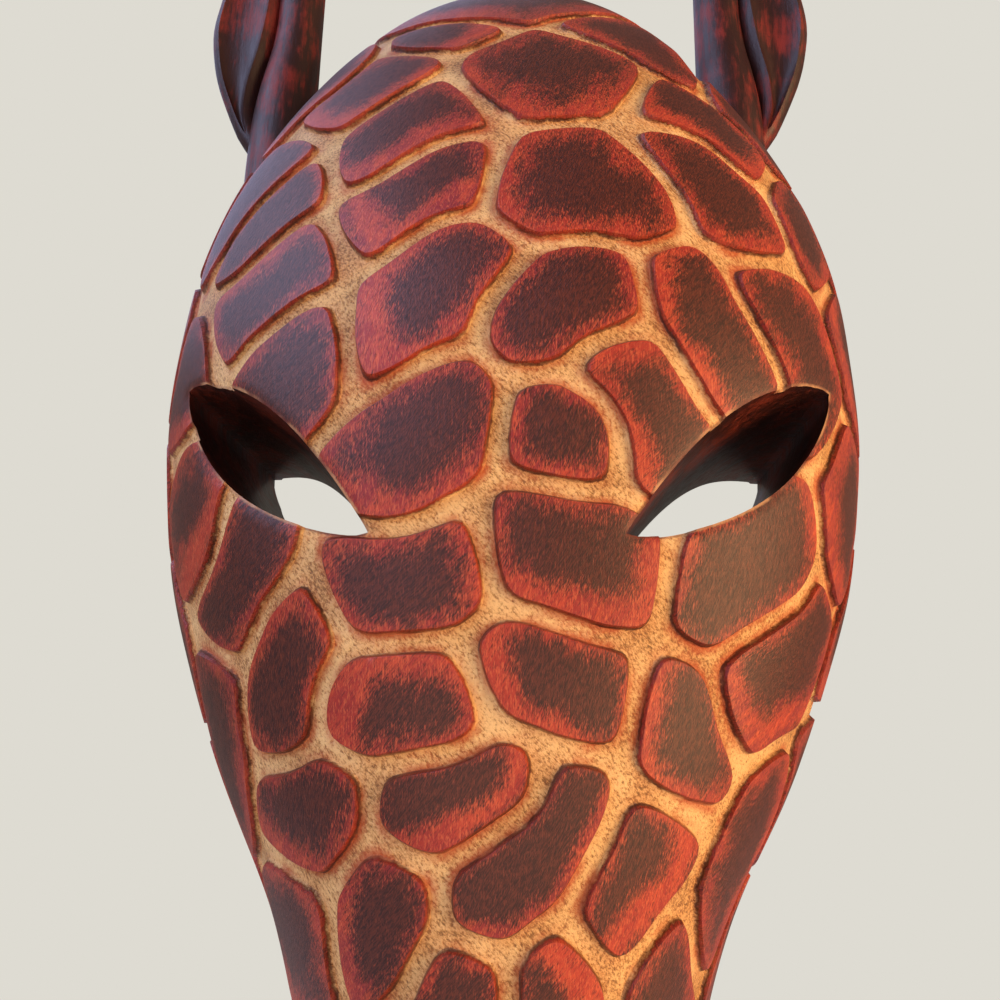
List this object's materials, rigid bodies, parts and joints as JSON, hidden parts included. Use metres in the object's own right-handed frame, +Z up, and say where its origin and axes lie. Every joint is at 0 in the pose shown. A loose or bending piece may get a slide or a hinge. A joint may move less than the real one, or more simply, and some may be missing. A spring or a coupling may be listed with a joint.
{
  "type": "animal wall mask",
  "caption": "Carved wooden giraffe face that hangs flat on a wall, with raised coat patches, slanted eye slots cut through, upright ears and knobbed horns, and a hollowed back.",
  "frame": {"origin": "centre of the hanging hole's mouth, in the plane of the flat back", "axes": "+Z up the face from muzzle to horns, +Y into the wall, X across the face"},
  "size_m": [0.1293, 0.0694, 0.3516],
  "materials": {
    "painted_wood": "painted and varnished, satin"
  },
  "bodies": {
    "root": {"giraffe_mask": "painted_wood"}
  },
  "joints": []
}
